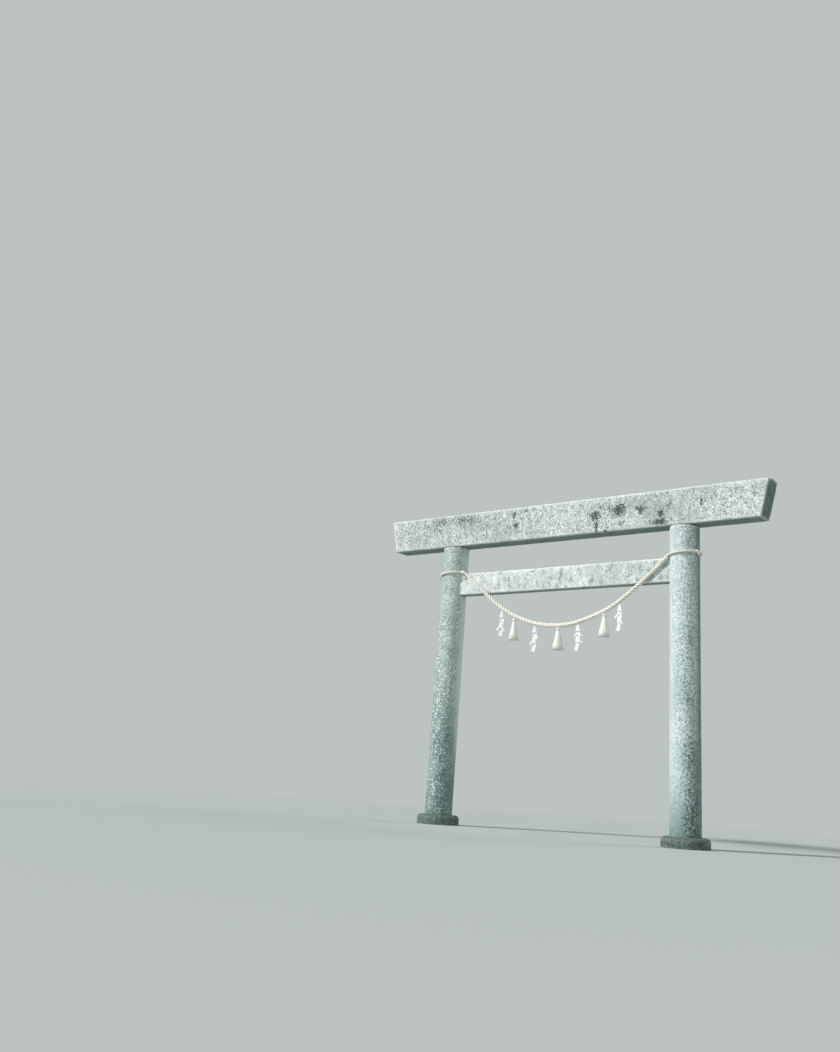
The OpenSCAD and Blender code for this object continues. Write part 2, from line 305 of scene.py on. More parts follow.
def lay_rope(line, radius, pitch, stalks, strands=3, flute=0.7 * MM, closed=False, tone=0.3, shade=1):
    """The body of a rope laid from strands along a line, with a radius for each of its points."""
    along, side, other = line_frames(line)
    angle, reach, depth, across = lobe(strands, stalks)
    angle = np.concatenate([angle + k * math.tau / strands for k in range(strands)])
    reach, depth = np.tile(reach, strands), np.tile(depth, strands)
    across = np.concatenate([across + k * STRANDS_APART for k in range(strands)])
    swing = angle + math.tau * along[:, None] / pitch
    radius = np.broadcast_to(radius, len(line))[:, None]
    order = np.arange(len(angle))
    wave = np.sin(along[:, None] / RIDGE_WAVE + 2.4 * order)
    ridge = np.where(order % 2 == 0, 1, -1) * flute * (0.7 + 0.5 * wave)
    spread = (radius * reach + ridge * (1 - depth))[..., None]
    points = line[:, None] + spread * (
        np.cos(swing)[..., None] * side[:, None] + np.sin(swing)[..., None] * other[:, None])
    faces = tube_faces(len(line), len(angle), closed=closed)
    return make_body(points, faces, across=across * radius, along=along[:, None],
                     depth=depth * shade, tone=tone)

# %% Join bodies to a piece
def straw_piece(name, bodies, node, material=rope_straw, slot="straw_rope"):
    """One piece from several bodies, in place of a node of the construction model."""
    piece = make_piece(name, *join(bodies), material, slot)
    for key in ("across", "along", "depth", "tone"):
        store(piece, key, np.concatenate([body[key] for body in bodies]))
    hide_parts(node)
    return piece

# %% [markdown]
# The rope hangs from one pillar to the other, with its middle line 23 mm in front of the tie beam. Its
# route repeats the points of the construction model, along the lintel and up or down from the tie
# beam's top, in millimetres.

# %% The rope
ROUTE_MM = [
    (-1330, 5), (-1250, -59), (-1165, -128), (-1080, -199), (-1000, -267), (-925, -329),
    (-850, -388), (-770, -444), (-680, -499), (-580, -552), (-470, -601), (-360, -640),
    (-240, -670), (-120, -689), (0, -697), (120, -695), (240, -680), (360, -652),
    (470, -618), (580, -580), (680, -536), (770, -487), (850, -435), (925, -381),
    (1000, -323), (1080, -259), (1165, -189), (1250, -118), (1310, -67), (1360, -25)]
TIE_LOW, TIE_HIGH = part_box("tie_beam")
ROPE_Y = TIE_LOW.y - 23 * MM
ROPE_ROUTE = [(x * MM, ROPE_Y, TIE_HIGH.z + z * MM) for x, z in ROUTE_MM]
ROPE_MID, ROPE_END, ROPE_PITCH = 54 * MM, 34 * MM, 135 * MM


def rope_radius(x):
    """The rope's radius at x: nearly full over most of its length, and thin only near its ends."""
    fullness = (1 - abs(x / ROPE_ROUTE[-1][0]) ** 3).clip(0, 1)
    return (ROPE_END + (ROPE_MID - ROPE_END) * fullness) / 2


rope_line = smooth_line(ROPE_ROUTE, 5 * MM)
rope_body = lay_rope(rope_line, rope_radius(rope_line[:, 0]), ROPE_PITCH, stalks=24)
rope = straw_piece("straw_rope", [rope_body], "rope")

# %% [markdown]
# ## Loops round the pillars
#
# A thin rope goes once round each pillar, just above the tie beam, and the thick rope hooks on to it.
# It is laid the same way, on a sloping circle. The circle's middle and size are read from the
# construction model's own loop.

# %% Loops
LOOP_SLOPE = {"left": 5.0, "right": -4.0}
LOOP_D, LOOP_PITCH = 26 * MM, 78 * MM
LOOP_POINTS = 210


def loop_point(side, turn):
    """The loop's point at an angle from the front towards the passage, and the way out there."""
    low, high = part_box(side + "_loop")
    radius, slope = (high.y - low.y - LOOP_D) / 2, math.radians(LOOP_SLOPE[side])
    inward = math.sin(turn) * (1 if side == "left" else -1)
    out = Vector((inward * math.cos(slope), -math.cos(turn), math.sin(turn) * math.sin(slope)))
    return (low + high) / 2 + radius * out, out


for side in ("left", "right"):
    line = np.array([loop_point(side, math.tau * i / LOOP_POINTS)[0] for i in range(LOOP_POINTS)])
    ring = lay_rope(line, LOOP_D / 2, LOOP_PITCH, stalks=10, flute=0.4 * MM, closed=True)
    loop = straw_piece(side + "_loop_rope", [ring], side + "_loop")
    print(loop.name, len(loop.data.polygons), "faces")

# %% [markdown]
# ## Knots and hitches
#
# Each end of the thick rope is whipped with cord, in two lumps, and the cord's last turns go round the
# loop. The rope's own strands carry on under the whipping as a core. On the far side of each loop a
# hitch closes it, and its loose tail has frayed into single stalks.
#
# Both are cord wound round a short path. The cord itself is two strands, laid by the same helper as
# the rope, and the painted shade in its grooves is kept lighter, because they are too shallow to be dark.

# %% Wind cord
TURN_POINTS = 18
CORD_PITCH, CORD_FLUTE, CORD_SHADE = 30 * MM, 0.1 * MM, 0.35


def wind(path, radius, cord, spacing, tone=0.35):
    """The body of a cord wound round a path, at a radius given for each share of its length."""
    along, side, other = line_frames(path)
    turns = max(2, round(along[-1] / spacing))
    share = np.linspace(0, 1, turns * TURN_POINTS)

    def at_share(rows):
        return np.array([np.interp(share * along[-1], along, column) for column in rows.T]).T

    angle = (share * turns * math.tau)[:, None]
    reach = np.broadcast_to(radius(share), share.shape)[:, None]
    line = at_share(path) + reach * (np.cos(angle) * at_share(side) + np.sin(angle) * at_share(other))
    return lay_rope(line, cord / 2, CORD_PITCH, stalks=6, strands=2, flute=CORD_FLUTE,
                    tone=tone, shade=CORD_SHADE)


def loop_stretch(side, degrees, half, lift=0):
    """A short straight path along a loop, lifted outwards from the loop's own middle line."""
    point, out = loop_point(side, math.radians(degrees))
    onward = loop_point(side, math.radians(degrees + 8))[0]
    ahead = unit(np.array(onward) - np.array(point))
    return np.array(point) + np.array(out) * lift + np.linspace(-half, half, 9)[:, None] * ahead

# %% [markdown]
# A knot is four bodies: the core, the whipping with its two lumps, a band of fresher cord over the lump
# nearer the pillar, and an eye of cord round the loop. The right knot reaches farther over its rope.

# %% Knots
KNOT_TURN = {"left": 62, "right": 55}
KNOT_OVER = {"left": 18 * MM, "right": 74 * MM}
CORE_R, CORE_POINTS = 15 * MM, 13
WHIPPING_R, LUMP_H, BAND_R = 19 * MM, 2.5 * MM, 21.8 * MM
EYE_R, EYE_HALF = LOOP_D / 2 + 4 * MM, 13 * MM


def whipping_radius(share):
    """Two lumps along the knot."""
    return WHIPPING_R + LUMP_H * np.sin(share * math.tau) ** 2


def make_knot(side):
    """A knot from the loop to a little way over the rope."""
    hook, out = loop_point(side, math.radians(KNOT_TURN[side]))
    line = rope_line if side == "left" else rope_line[::-1]
    over = np.linalg.norm(line - line[0], axis=1) < KNOT_OVER[side]
    start = np.array(hook) + np.array(out) * 4 * MM
    lead = start + np.linspace(0, 1, CORE_POINTS, endpoint=False)[:, None] * (line[0] - start)
    path = np.concatenate([lead, line[over]])
    first_lump = path[len(path) // 5:len(path) // 2]
    core = lay_rope(lead, CORE_R, ROPE_PITCH, stalks=12)
    whipping = wind(path, whipping_radius, cord=7 * MM, spacing=7.5 * MM)
    band = wind(first_lump, lambda share: BAND_R, cord=6 * MM, spacing=8 * MM, tone=0.15)
    grip = loop_stretch(side, KNOT_TURN[side], EYE_HALF)
    eye = wind(grip, lambda share: EYE_R, cord=7 * MM, spacing=8 * MM)
    return straw_piece(side + "_knot_whipping", [core, whipping, band, eye], side + "_knot")


knots = [make_knot(side) for side in ("left", "right")]
print("Knots", [len(knot.data.polygons) for knot in knots])

# %% [markdown]
# Where straw has come loose, every stalk is a thin tube of its own. All the stalks of a bundle are made
# at once, as one array of points, because a loop over hundreds of them would be slow.

# %% Bundle stalks
ASIDE = (0.31, 0.94, 0.13)


def stalk_bundle(lines, radii, tones, depths, sides=4, out=ASIDE, flat=1):
    """The body of many thin stalks. Every line has as many points, and flat ones are thin along out."""
    lines = np.asarray(lines)
    count, rings = lines.shape[:2]
    ahead = unit(np.gradient(lines, axis=1))
    wide = unit(np.cross(ahead, out))
    thin = np.cross(ahead, wide)
    turn = np.arange(sides) * math.tau / sides
    ring = np.cos(turn)[:, None] * wide[:, :, None] + flat * np.sin(turn)[:, None] * thin[:, :, None]
    radii = np.broadcast_to(radii, (count, rings))
    points = lines[:, :, None] + radii[:, :, None, None] * ring
    faces = [face for i in range(count) for face in tube_faces(rings, sides, i * rings * sides)]
    steps = np.linalg.norm(np.diff(lines, axis=1), axis=2)
    along = np.concatenate([np.zeros((count, 1)), np.cumsum(steps, axis=1)], axis=1)
    tones, depths = (np.reshape(values, (count, 1, 1)) for values in (tones, depths))
    return make_body(points, faces, across=turn * 2 * MM, along=along[:, :, None], depth=depths, tone=tones)

# %% [markdown]
# A hitch is a few turns that bulge in the middle, and a tail of 26 stalks. They start near one spot,
# spread a little as they go, and droop at their tips. Chance places them, from a fixed seed, so the
# same tail comes back on every run.

# %% Hitches
HITCH_TURN, HITCH_HALF, HITCH_LIFT = -72, 16 * MM, 3 * MM
HITCH_R, HITCH_BULGE = LOOP_D / 2 + 1 * MM, 2 * MM
TAIL_STALKS, TAIL_LENGTH, TAIL_R = 26, 55 * MM, 1.3 * MM
TAIL_OUT, TAIL_SPREAD, TAIL_DROOP = 0.75, 0.28, 14 * MM
chance = random.Random(11)


def scatter():
    """A vector by chance, with each part from -1 to 1."""
    return Vector([chance.uniform(-1, 1) for _ in range(3)])


def hitch_radius(share):
    """Turns that stand out in the middle of the hitch."""
    return HITCH_R + HITCH_BULGE * np.sin(share * math.pi)


def make_hitch(side):
    """Turns of cord round the loop, and a tail of loose stalks below them."""
    spot, out = loop_point(side, math.radians(HITCH_TURN))
    path = loop_stretch(side, HITCH_TURN, HITCH_HALF, HITCH_LIFT)
    turns = wind(path, hitch_radius, cord=8 * MM, spacing=8 * MM)
    tail = []
    for _ in range(TAIL_STALKS):
        way = Vector((out.x * TAIL_OUT, out.y * TAIL_OUT, -1)) + TAIL_SPREAD * scatter()
        start = spot + out * 8 * MM + 5 * MM * scatter()
        stalk = way.normalized() * (TAIL_LENGTH * chance.uniform(0.6, 1))
        tail.append([start + stalk * t - Vector((0, 0, TAIL_DROOP * t * t)) for t in (0, 0.35, 0.7, 1)])
    stalks = stalk_bundle(tail, TAIL_R, [chance.random() for _ in tail], [0.1] * len(tail))
    return straw_piece(side + "_hitch_cord", [turns, stalks], side + "_hitch")


hitches = [make_hitch(side) for side in ("left", "right")]
print("Hitches", [len(hitch.data.polygons) for hitch in hitches])

# %% [markdown]
# ## Straw tassels
#
# Three tassels hang from the rope. Each is a bundle of straight stalks, folded at the top, tied below
# the fold and cut flat, so it flares in a straight cone. A striped cone would look smooth at its
# edge and empty from below, which is where people see it from. So we make the stalks, split and flat:
# one ring on the outside, and rings inside it that fill the cut end.
#
# Each place down a tassel is a share of its height. Each ring has its share of the radius and its
# number of stalks.

# %% A tassel's outline
FOLD_SHARES = [0, 0.018, 0.032, 0.064, 0.125]
STALK_SHARES = np.array([*FOLD_SHARES, 0.35, 0.6, 0.8, 1])
RINGS = [(1, 128), (0.93, 112), (0.78, 84), (0.6, 60), (0.4, 38), (0.2, 18)]
TIE_CORD, TIE_SPACING = 5 * MM, 4.2 * MM


def tassel_radius(neck, foot):
    """The bundle's radius down its height: a rounded fold, the tie, and then a straight cone."""
    fold = 1.24 * neck
    return np.interp(STALK_SHARES, [*FOLD_SHARES, 1], [neck, fold, fold, neck, neck, foot])

# %% Tassels
RAGGED = 3 * MM


def make_tassel(side):
    """Rings of stalks that fall from the fold through the tie to a slightly ragged end."""
    low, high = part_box(side + "_tassel")
    tie_low, tie_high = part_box(side + "_tassel_tie")
    middle, height = (low + high) / 2, high.z - low.z
    foot, neck = (high.x - low.x) / 2, (tie_high.x - tie_low.x) / 2 - TIE_CORD
    radius = tassel_radius(neck, foot - 2 * MM)
    lines, tones, depths, out = [], [], [], []
    for inner, count in RINGS:
        for i in range(count):
            angle = math.tau * (i + chance.uniform(-0.4, 0.4)) / count
            angle = angle + chance.uniform(-0.05, 0.05) * STALK_SHARES
            wave = 1 + chance.uniform(-0.03, 0.012) * np.sin(math.pi * STALK_SHARES.clip(0.125, 1))
            reach = inner * radius * wave
            drop = STALK_SHARES * (height - chance.uniform(0, RAGGED))
            x, y = middle.x + reach * np.cos(angle), middle.y + reach * np.sin(angle)
            lines.append(np.stack([x, y, high.z - drop], axis=1))
            tones.append(chance.random() ** 1.5)
            depths.append(chance.uniform(0, 0.5) if inner == 1 else 0.2)
            out.append([(math.cos(angle[-1]), math.sin(angle[-1]), 0)])
    width = np.interp(STALK_SHARES, [0, 0.12, 1], [1.6, 1.6, 2.6]) * MM
    body = stalk_bundle(lines, width, tones, depths, sides=6, out=out, flat=0.4)
    return straw_piece(side + "_tassel_stalks", [body], side + "_tassel", tassel_straw, "straw_tassel")


tassels = [make_tassel(side) for side in ("left", "middle", "right")]
print("Tassels", [len(tassel.data.polygons) for tassel in tassels])

# %% [markdown]
# The tie at a tassel's neck is cord again, wound round a short upright line.

# %% Neck ties
def make_tie(side):
    """The cord that binds a tassel's neck."""
    low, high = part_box(side + "_tassel_tie")
    middle, half = (low + high) / 2, TIE_CORD / 2
    path = np.array([(middle.x, middle.y, z) for z in np.linspace(low.z + half, high.z - half, 7)])
    cord = wind(path, lambda share: (high.x - low.x) / 2 - half, TIE_CORD, TIE_SPACING)
    return straw_piece(side + "_tassel_cord", [cord], side + "_tassel_tie")


ties = [make_tie(side) for side in ("left", "middle", "right")]
print("Ties", [len(tie.data.polygons) for tie in ties])

# %% [markdown]
# ## Folded paper streamers
#
# Between the tassels hang streamers of white paper. Each starts as one strip, cut from both sides in
# turn and folded at every cut, so its panels step sideways and their corners stick out like short
# wings. Such paper is matt, with soft fibres that only just show, so its colour hardly varies and its
# relief is faint.

# %% White paper
paper_white, tree, shader = start_material("folded_white_paper", roughness=0.88, ior=1.45)
place = add(tree, "TexCoord", {}, "Object")
fibres = add(tree, "TexNoise", {"Vector": place, "Scale": noise_scale(9), "Detail": 5.0}, "Fac")
tint = add(tree, "ValToRGB", {"Fac": fibres}, stops=[(0.35, "F3F6F6"), (0.65, "FCFDFD")])
tree.links.new(tint, shader.inputs["Base Color"])
bump = add(tree, "Bump", {"Height": fibres, "Strength": 0.35, "Distance": 0.5 * MM})
tree.links.new(bump, shader.inputs["Normal"])
print("Paper", paper_white.name)

# %% [markdown]
# A cloth simulation would make the paper limp, and it is stiff. So each panel is a thin closed sheet
# between four corners, a little bowed, and the panels lie one behind the other at their folds. The
# corners are shares of the streamer's width and height, measured on the photograph.

# %% Panels
PAPER_W, PAPER_T = 56 * MM, 0.6 * MM
LAP, PANEL_BOW, WING_BOW = 2.2 * MM, 4 * MM, 6 * MM
WING_ROOT, WING_HALF, WING_LENGTH = 0.15, 9 * MM, 72 * MM
PANELS = [
    [(-0.20, 0), (0.20, 0), (0.50, 0.26), (-0.50, 0.26)],
    [(-0.50, 0.25), (0.50, 0.25), (0.42, 0.46), (-0.42, 0.46)],
    [(-0.42, 0.43), (0.54, 0.47), (0.36, 0.70), (-0.46, 0.66)],
    [(-0.34, 0.66), (0.40, 0.69), (0.06, 1.00), (-0.84, 0.97)]]


def paper_panel(corners, back, bow, across=8, down=8):
    """The body of one thin closed sheet between four corners (x, z)."""
    corners = np.array(corners)
    grids = np.meshgrid(np.linspace(0, 1, across), np.linspace(0, 1, down))
    u, v = (grid.ravel()[:, None] for grid in grids)
    flat = (1 - v) * ((1 - u) * corners[0] + u * corners[1]) + v * ((1 - u) * corners[3] + u * corners[2])
    depth = back + bow * (4 * u * (1 - u) - 0.5 + 0.6 * v)[:, 0]
    front, rear = (np.stack([flat[:, 0], depth + offset, flat[:, 1]], axis=1)
                   for offset in (-PAPER_T / 2, PAPER_T / 2))
    count = across * down
    firsts = [row * across + k for row in range(down - 1) for k in range(across - 1)]
    quads = [(a, a + 1, a + across + 1, a + across) for a in firsts]
    rim = [*range(across), *range(2 * across - 1, count, across),
           *range(count - 2, count - across - 1, -1), *range(count - 2 * across, 0, -across)]
    faces = [tuple(reversed(quad)) for quad in quads]
    faces += [tuple(k + count for k in quad) for quad in quads]
    faces += [(a, b, b + count, a + count) for a, b in zip(rim, rim[1:] + rim[:1])]
    return {"points": np.concatenate([front, rear]), "faces": faces}


def wing(height, side, drop, length, slope):
    """The corners of a folded corner that sticks out to one side, as a sloping strip 18 mm wide."""
    slope = math.radians(slope)
    way = np.array([side * math.cos(slope), -math.sin(slope)])
    across = np.array([way[1], -way[0]]) * WING_HALF
    root = np.array([WING_ROOT * side * PAPER_W, -drop * height])
    tip = root + way * length * WING_LENGTH
    return [root + across, tip + across, tip - across, root - across]

# %% [markdown]
# Each streamer has its place along the lintel in metres and its turn in degrees. Its wings follow:
# the side, the drop as a share of the height, the length as a share of 72 mm, and the slope in
# degrees. The area of its panels is added up as well.

# %% Streamers
STREAMERS = {
    1: (-0.742, 20, [(-1, 0.60, 1.0, 47), (1, 0.64, 0.9, 60)]),
    2: (-0.270, 14, [(1, 0.33, 0.9, 48), (-1, 0.54, 1.0, 54)]),
    3: (0.305, 8, [(1, 0.33, 0.9, 35), (-1, 0.37, 0.6, 24), (1, 0.58, 0.9, 30)]),
    4: (0.825, -6, [(-1, 0.34, 1.0, 46), (1, 0.57, 0.9, 52)])}


def make_streamer(number):
    """Four panels and two or three wings as one piece, turned about its own upright line."""
    low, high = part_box(f"streamer_{number}")
    place, turn, wings = STREAMERS[number]
    height = high.z - low.z
    sheets = []
    for i, panel in enumerate(PANELS):
        corners = [(x * PAPER_W, -z * height) for x, z in panel]
        sheets.append((corners, LAP if i % 2 else -LAP, PANEL_BOW))
    sheets += [(wing(height, *fold), -LAP, WING_BOW) for fold in wings]
    bodies, area = [], 0
    for corners, back, bow in sheets:
        bodies.append(paper_panel(corners, back, math.copysign(bow, back)))
        (ax, az), (bx, bz) = np.subtract(corners[2], corners[0]), np.subtract(corners[3], corners[1])
        area += abs(ax * bz - az * bx) / 2
    points, faces = join(bodies)
    x, y, z = points.T
    cos, sin = math.cos(math.radians(turn)), math.sin(math.radians(turn))
    points = np.stack([place + x * cos - y * sin, ROPE_Y + x * sin + y * cos, high.z + z], axis=1)
    piece = make_piece(f"streamer_{number}_paper", points, faces, paper_white, "folded_paper", smooth=False)
    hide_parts(f"streamer_{number}")
    return piece


streamers = [make_streamer(number) for number in STREAMERS]
print("Streamers", [len(streamer.data.polygons) for streamer in streamers])

# %% [markdown]
# ## Weathered granite
#
# The stones are granite, dressed with a toothed hammer and left in the rain for many years. Granite
# is a mass of crystals, white feldspar and grey quartz with a little black mica. Voronoi cells with a
# random value each are the natural way to draw them, and a little noise in their coordinates makes
# their edges irregular. Real crystals are 3 to 5 mm wide. Ours are 8 or 9 mm, because from the
# camera's distance finer ones would blur into a plain grey.
#
# Four stones differ in the same eleven values, which each function below takes as its look.

# %% Crystals
def crystals(tree, place, look):
    """The stone's own colour, and how far each point lies from the middle of its crystal."""
    size = look["crystal_mm"]
    warp = add(tree, "TexNoise", {"Vector": place, "Scale": noise_scale(size), "Detail": 3.0}, "Color")
    push = add(tree, "VectorMath", {0: warp, "Scale": size * MM}, operation="SCALE")
    bent = add(tree, "VectorMath", {0: place, 1: push}, **PLUS)
    cells = add(tree, "TexVoronoi", {"Vector": bent, "Scale": 1 / (size * MM)}, "Color")
    pick = add(tree, "SeparateColor", {"Color": cells}, "Red")
    stops = [(0.10, look["dark"]), (0.30, look["body"]), (0.65, look["body"]), (0.85, look["light"])]
    return add(tree, "ValToRGB", {"Fac": pick}, stops=stops), cells.node.outputs["Distance"]

# %% [markdown]
# ## Dirt and rain
#
# Dirt lies over the crystals in three sizes: a mottle of dark pits and fresh pale stone, patches about
# 0.3 m wide, and grey runs below each edge. Rain has drawn the mottle down the beams, so there its
# noise is stretched upright, and the runs' noise is stretched far more. On a side that takes strong
# light the stone's middle colour is painted in place of all this, as painted light.

# %% Dirt and rain
PATCH_MM, RUN_MM, RUN_DRAW, RUN_GREY = 320, 34, 0.13, "7F8C88"


def weather(tree, place, stone, broad, look):
    """The stone's colour under its mottle, dirty patches and rain runs."""
    # Painted light: where the even amount is stored, a strongly lit side gets the plain middle colour.
    even = add(tree, "Attribute", {}, "Fac", attribute_name="even")
    drawn = add(tree, "Mapping", {"Vector": place, "Scale": (1, 1, look["draw"])})
    fine = add(tree, "TexNoise", {
        "Vector": drawn, "Scale": noise_scale(look["mottle_mm"]), "Detail": 4.0, "Roughness": 0.7}, "Fac")
    pits = add(tree, "MapRange", {0: fine, 1: 0.54, 2: 0.64, 4: 0.95}, **SMOOTH)
    fresh = add(tree, "MapRange", {0: fine, 1: 0.46, 2: 0.36, 4: 0.9}, **SMOOTH)
    patches = add(tree, "MapRange", {0: broad, 1: 0.42, 2: 0.64, 4: 0.40}, **SMOOTH)
    tall = add(tree, "Mapping", {"Vector": place, "Scale": (1, 1, RUN_DRAW)})
    drips = add(tree, "TexNoise", {
        "Vector": tall, "Scale": noise_scale(RUN_MM), "Detail": 4.0, "Roughness": 0.7}, "Fac")
    runs = add(tree, "MapRange", {0: drips, 1: 0.50, 2: 0.72, 4: look["streaks"]}, **SMOOTH)
    for amount, tint in ((pits, look["dark"]), (fresh, look["light"]), (patches, look["dark"]),
                         (runs, RUN_GREY), (even, look["body"])):
        stone = add(tree, "Mix", {0: amount, 6: stone, 7: colour(tint)}, 2, **RGBA)
    return stone

# %% [markdown]
# ## Algae, lichen and painted shade
#
# A film of green algae, partly painted shade, lies where the stone stays damp or in shadow, thin in
# places, so the dirt shows through it. Pale lichen stands on it in small chalky flakes, edges that
# hands and weather have worn are paler, partly as wear and partly as a painted highlight, and dark
# lichen makes black crusts. Where each of these grows is stored on the mesh, and noise is added to
# it, so every edge comes out ragged.

# %% Algae and lichen
FILM_MM, FLAKE_MM = 55, 13


def overgrow(tree, place, stone, broad, look):
    """The stone's colour under algae with painted shade, pale lichen, worn edges with a painted highlight
    and dark lichen.
    """
    algae_and_shade, lichen, chalk, worn = (
        add(tree, "Attribute", {}, "Fac", attribute_name=key)
        for key in ("algae_and_shade", "lichen", "chalk", "worn"))
    cloud = add(tree, "TexNoise", {"Vector": place, "Scale": noise_scale(FILM_MM), "Detail": 5.0}, "Fac")
    # Painted shade: the algae amount also holds shade, under the beams, on their far ends and on the
    # pillars.
    green = add(tree, "Math", {0: cloud, 1: 0.5, 2: algae_and_shade}, **TIMES_PLUS)
    film_and_shade_cover = add(tree, "MapRange", {0: green, 1: 0.40, 2: 1.10, 4: 0.85}, **SMOOTH)
    thin = add(tree, "MapRange", {0: cloud, 1: 0.44, 2: 0.62, 4: 0.6}, **SMOOTH)
    veil = add(tree, "Mix", {0: thin, 6: colour(look["film"]), 7: colour(look["dark"])}, 2, **RGBA)
    flakes = add(tree, "TexNoise", {
        "Vector": place, "Scale": noise_scale(FLAKE_MM), "Detail": 5.0, "Roughness": 0.75}, "Fac")
    bloom = add(tree, "Math", {0: chalk, 1: 0.25, 2: flakes}, **TIMES_PLUS)
    white = add(tree, "MapRange", {0: bloom, 1: 0.70, 2: 0.80, 4: 0.9}, **SMOOTH)
    # Partly wear and partly a painted highlight: worn edges are painted paler.
    wear_and_highlight = add(tree, "Math", {0: worn, 1: 0.5}, **TIMES)
    specks = add(tree, "TexNoise", {
        "Vector": place, "Scale": noise_scale(look["crust_mm"]), "Detail": 6.0, "Roughness": 0.78}, "Fac")
    growth = add(tree, "Math", {0: broad, 1: 0.28, 2: specks}, **TIMES_PLUS)
    growth = add(tree, "Math", {0: lichen, 1: 0.235, 2: growth}, **TIMES_PLUS)
    start, full = 0.81 - look["spots"], 0.88 - look["spots"]
    black = add(tree, "MapRange", {0: growth, 1: start, 2: full, 4: 0.92}, **SMOOTH)
    light, crust = colour(look["light"]), colour(look["crust"])
    for amount, tint in ((film_and_shade_cover, veil), (white, light), (wear_and_highlight, light), (black, crust)):
        stone = add(tree, "Mix", {0: amount, 6: stone, 7: tint}, 2, **RGBA)
    return stone

# %% [markdown]
# ## Four kinds of stone
#
# The toothed hammer leaves small pits that catch the light, so the last part of the graph is relief:
# grit about 6 mm across, and a slight hollow in the middle of each crystal. Granite has an index of
# refraction of about 1.54, and dressed this way it has no gloss left.
#
# The lintel carries the finest mottle. The tie beam is the palest stone, and its mottle is broad. The
# pillars wear a blue-green film, partly algae and partly painted shade, and the plinths are dark
# with damp.

# %% Granite
GRIT_MM, RELIEF = 6, 2.2 * MM


def granite(name, **look):
    """Weathered granite, from the colours, sizes and amounts that make up its look."""
    material, tree, shader = start_material(name, roughness=0.85, ior=1.54)
    place = add(tree, "TexCoord", {}, "Object")
    broad = add(tree, "TexNoise", {
        "Vector": place, "Scale": noise_scale(PATCH_MM), "Detail": 5.0, "Roughness": 0.65}, "Fac")
    stone, distance = crystals(tree, place, look)
    stone = weather(tree, place, stone, broad, look)
    stone = overgrow(tree, place, stone, broad, look)
    tree.links.new(stone, shader.inputs["Base Color"])
    grit = add(tree, "TexNoise", {
        "Vector": place, "Scale": noise_scale(GRIT_MM), "Detail": 5.0, "Roughness": 0.7}, "Fac")
    height = add(tree, "Math", {0: distance, 1: 0.4, 2: grit}, **TIMES_PLUS)
    bump = add(tree, "Bump", {"Height": height, "Strength": 0.9, "Distance": RELIEF})
    tree.links.new(bump, shader.inputs["Normal"])
    return material


# Each film colour paints algae and also painted shade, such as the pillars' blue-green.
lintel_granite = granite(
    "hammered_granite_lintel", body="CDD5D3", light="F2F5F4", dark="74837D", crystal_mm=8,
    mottle_mm=12, draw=0.55, streaks=0.5, film="325C3E", crust="313D39", crust_mm=12, spots=0.06)
beam_granite = granite(
    "hammered_granite_beam", body="DCE3E2", light="F6F8F8", dark="90A09C", crystal_mm=8,
    mottle_mm=48, draw=0.7, streaks=0.4, film="325C3E", crust="313D39", crust_mm=14, spots=-0.02)
pillar_granite = granite(
    "hammered_granite_pillar", body="C8D8D7", light="F4F8F8", dark="7C9894", crystal_mm=9,
    mottle_mm=16, draw=1, streaks=0.35, film="30655D", crust="3B5A54", crust_mm=14, spots=0.02)
plinth_granite = granite(
    "mossy_granite_plinth", body="5A6963", light="92A39C", dark="35433D", crystal_mm=9,
    mottle_mm=20, draw=1, streaks=0.3, film="385244", crust="313D39", crust_mm=14, spots=0.08)
print("Nodes in the lintel's graph", len(lintel_granite.node_tree.nodes))

# %% [markdown]
# ## Stones with worn edges
#
# The construction model's stones have flat faces and a clean bevel. Real ones have lost their sharp
# edges: corners are rounded, nicked and paler. We can't change the model's own mesh, so each stone
# gets a skin of even quads from a voxel remesh, which needs no care for bores and sockets. Where the
# skin stands proud of its own smoothed copy there is an edge, and that one number says both where
# stone has worn away and where the finish is pale, partly as worn stone and partly as a painted
# highlight along the edge. The faces also swell and sink by about a millimetre, because no hammer
# leaves them truly flat.

# %% Remesh a stone
def remeshed(node, voxel):
    """A node's surface again as even quads."""
    draft = bpy.data.objects.new("draft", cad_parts[node].data.copy())
    scene.collection.objects.link(draft)
    voxels = draft.modifiers.new("voxels", "REMESH")
    voxels.mode, voxels.voxel_size = "VOXEL", voxel
    even = draft.modifiers.new("even", "SMOOTH")
    even.factor, even.iterations = 0.5, 2
    mesh = bpy.data.meshes.new_from_object(draft.evaluated_get(bpy.context.evaluated_depsgraph_get()))
    bpy.data.objects.remove(draft)
    return mesh


def read_all(items, name, width, kind=np.float32):
    """One property of all of a mesh's points or edges, as rows of numbers."""
    values = np.zeros(len(items) * width, kind)
    items.foreach_get(name, values)
    return values.reshape(-1, width)

# %% Find edges and make lumps
def relaxed(points, edges, rounds):
    """The points after each has moved to the mean of its neighbours, round after round."""
    ends, starts = np.concatenate([edges, edges[:, ::-1]]).T
    count = np.bincount(ends, minlength=len(points))[:, None]
    for _ in range(rounds):
        sums = [np.bincount(ends, points[starts, k], len(points)) for k in range(3)]
        points = np.stack(sums, axis=1) / count
    return points


def lumps(points, size, octaves=3):
    """Noise from about -1 to 1 at each point, with lumps about that size."""
    return np.array([noise.fractal(Vector(p), 0.7, 2.0, octaves) for p in points / size])

# %% Wear a stone and store what grows on it
EDGE_ROUNDS = 12
NICK_SIZE = 90 * MM
SWELL, SWELL_SIZE = 0.7 * MM, 160 * MM
RIPPLE, RIPPLE_SIZE = 0.4 * MM, 30 * MM


